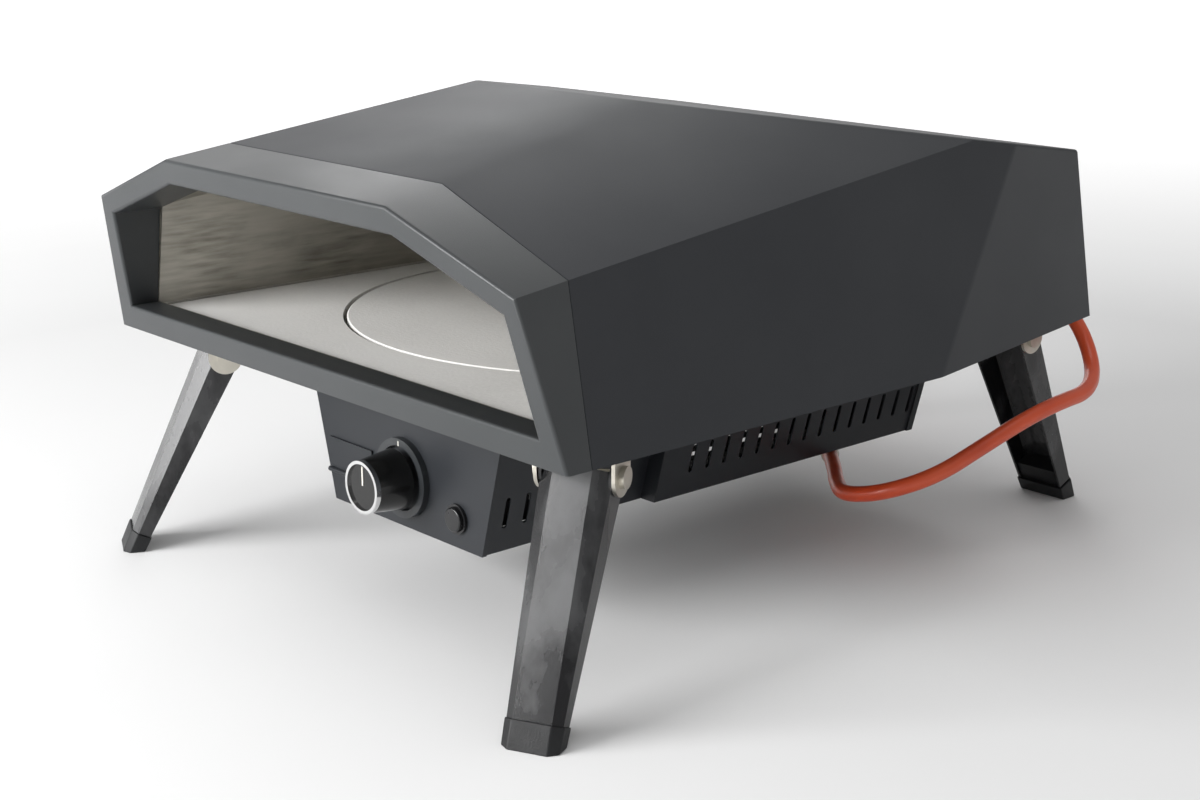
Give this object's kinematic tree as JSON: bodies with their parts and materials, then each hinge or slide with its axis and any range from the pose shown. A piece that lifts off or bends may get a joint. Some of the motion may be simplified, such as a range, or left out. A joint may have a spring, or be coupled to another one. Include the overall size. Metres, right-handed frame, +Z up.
{
  "type": "tabletop gas pizza oven",
  "caption": "Low faceted tabletop pizza oven with a wide front mouth, a turning stone hearth, a gas control box below, folding splayed legs and a rubber gas hose.",
  "frame": {"origin": "On the ground under the middle of the oven: halfway across it, and halfway between the lean of the front face and the rear feet.", "axes": "+Z is up. -Y is the side with the mouth and the knob, and +X is the right-hand side seen from in front of the mouth."},
  "size_m": [0.5453, 0.9196, 0.3685],
  "materials": {
    "shell_paint": "satin powder coat, dark blue-grey",
    "frame_paint": "satin powder coat, dark blue-grey",
    "panel_paint": "satin powder coat, near black",
    "stainless": "brushed and smudged",
    "steel_sheet": "plain rolled sheet",
    "hearth_stone": "smooth pale cordierite",
    "fibre_board": "rough pale board",
    "ceramic_fibre": "soft felted fibre",
    "leg_paint": "gloss black",
    "bracket_zinc": "zinc plated",
    "foot_plastic": "matt black",
    "knob_plastic": "gloss black",
    "chrome_trim": "bright chrome",
    "dial_plastic": "satin dark grey",
    "button_plastic": "gloss black",
    "case_plastic": "matt black",
    "brass_fitting": "turned",
    "motor_metal": "cast, bead blasted",
    "insulator": "unglazed white",
    "cell_wrap": "shrink sleeve",
    "hose_rubber": "smooth orange, satin",
    "regulator_metal": "die cast",
    "screw_steel": "domed, plated"
  },
  "bodies": {
    "oven": {"front_frame": "frame_paint", "outer_shell": "shell_paint", "rear_panel": "shell_paint", "base_pan": "steel_sheet", "cavity_liner": "stainless", "insulation_blanket": "ceramic_fibre", "hearth_surround": "hearth_stone", "hearth_tray": "fibre_board", "shaft_bearing": "brass_fitting", "gear_motor": "motor_metal", "motor_bracket": "steel_sheet", "burner_tube": "steel_sheet", "venturi_tube": "steel_sheet", "flame_guard": "stainless", "burner_cradles": "steel_sheet", "igniter_electrode": "insulator", "flame_sensor": "insulator", "gas_valve": "brass_fitting", "burner_pipe": "motor_metal", "gas_orifice": "brass_fitting", "supply_pipe": "motor_metal", "igniter_module": "case_plastic", "control_box": "panel_paint", "drive_housing": "panel_paint", "burner_box": "panel_paint", "burner_box_cover": "panel_paint", "control_panel": "panel_paint", "battery_door_pin": "screw_steel", "battery_case": "case_plastic", "battery_cells": "cell_wrap", "dial_bezel": "dial_plastic", "button_bezel": "button_plastic", "leg_pivot_bolts": "bracket_zinc", "gas_hose": "hose_rubber", "gas_inlet": "brass_fitting", "hose_ferrules": "bracket_zinc", "regulator": "regulator_metal", "hose_clips": "bracket_zinc", "case_screws": "screw_steel", "front_right_bracket": "bracket_zinc", "front_left_bracket": "bracket_zinc", "rear_right_bracket": "bracket_zinc", "rear_left_bracket": "bracket_zinc"},
    "front_right_leg": {"front_right_leg": "leg_paint", "front_right_foot": "foot_plastic"},
    "front_left_leg": {"front_left_leg": "leg_paint", "front_left_foot": "foot_plastic"},
    "rear_right_leg": {"rear_right_leg": "leg_paint", "rear_right_foot": "foot_plastic"},
    "rear_left_leg": {"rear_left_leg": "leg_paint", "rear_left_foot": "foot_plastic"},
    "turntable": {"turning_stone": "hearth_stone", "stone_carrier": "steel_sheet", "drive_shaft": "steel_sheet"},
    "valve_rotor": {"valve_rotor": "brass_fitting"},
    "control_knob": {"control_knob": "knob_plastic", "knob_trim": "chrome_trim", "valve_spindle": "brass_fitting"},
    "igniter_button": {"igniter_button": "button_plastic"},
    "battery_door": {"battery_door": "panel_paint"}
  },
  "joints": [
    {"name": "stone_turn", "type": "hinge", "parent": "oven", "child": "turntable", "pos_m": [0, -0.03199, 0.183], "axis": [0, 0, 1], "continuous": true},
    {"name": "knob_turn", "type": "hinge", "parent": "oven", "child": "valve_rotor", "pos_m": [0, -0.21649, 0.0984], "axis": [0, -1, 0], "range_deg": [0, 210]},
    {"name": "knob_push", "type": "slide", "parent": "valve_rotor", "child": "control_knob", "axis": [0, 1, 0], "range_m": [0, 0.003], "stiffness_N_per_m": 1500, "springref_m": -0.001},
    {"name": "button_push", "type": "slide", "parent": "oven", "child": "igniter_button", "axis": [0, 1, 0], "range_m": [0, 0.004], "stiffness_N_per_m": 1000, "springref_m": -0.001},
    {"name": "door_hinge", "type": "hinge", "parent": "oven", "child": "battery_door", "pos_m": [-0.06625, -0.24479, 0.084], "axis": [1, 0, 0], "range_deg": [0, 100]},
    {"name": "front_right_fold", "type": "hinge", "parent": "oven", "child": "front_right_leg", "pos_m": [0.2179, -0.26099, 0.157], "axis": [0.9033, 0.4289, 0], "range_deg": [0, 112]},
    {"name": "front_left_fold", "type": "hinge", "parent": "oven", "child": "front_left_leg", "pos_m": [-0.2179, -0.26099, 0.157], "axis": [0.9033, -0.4289, 0], "range_deg": [0, 112]},
    {"name": "rear_right_fold", "type": "hinge", "parent": "oven", "child": "rear_right_leg", "pos_m": [0.159, 0.25551, 0.157], "axis": [-1, 0, 0], "range_deg": [0, 112]},
    {"name": "rear_left_fold", "type": "hinge", "parent": "oven", "child": "rear_left_leg", "pos_m": [-0.159, 0.25551, 0.157], "axis": [-1, 0, 0], "range_deg": [0, 112]}
  ]
}
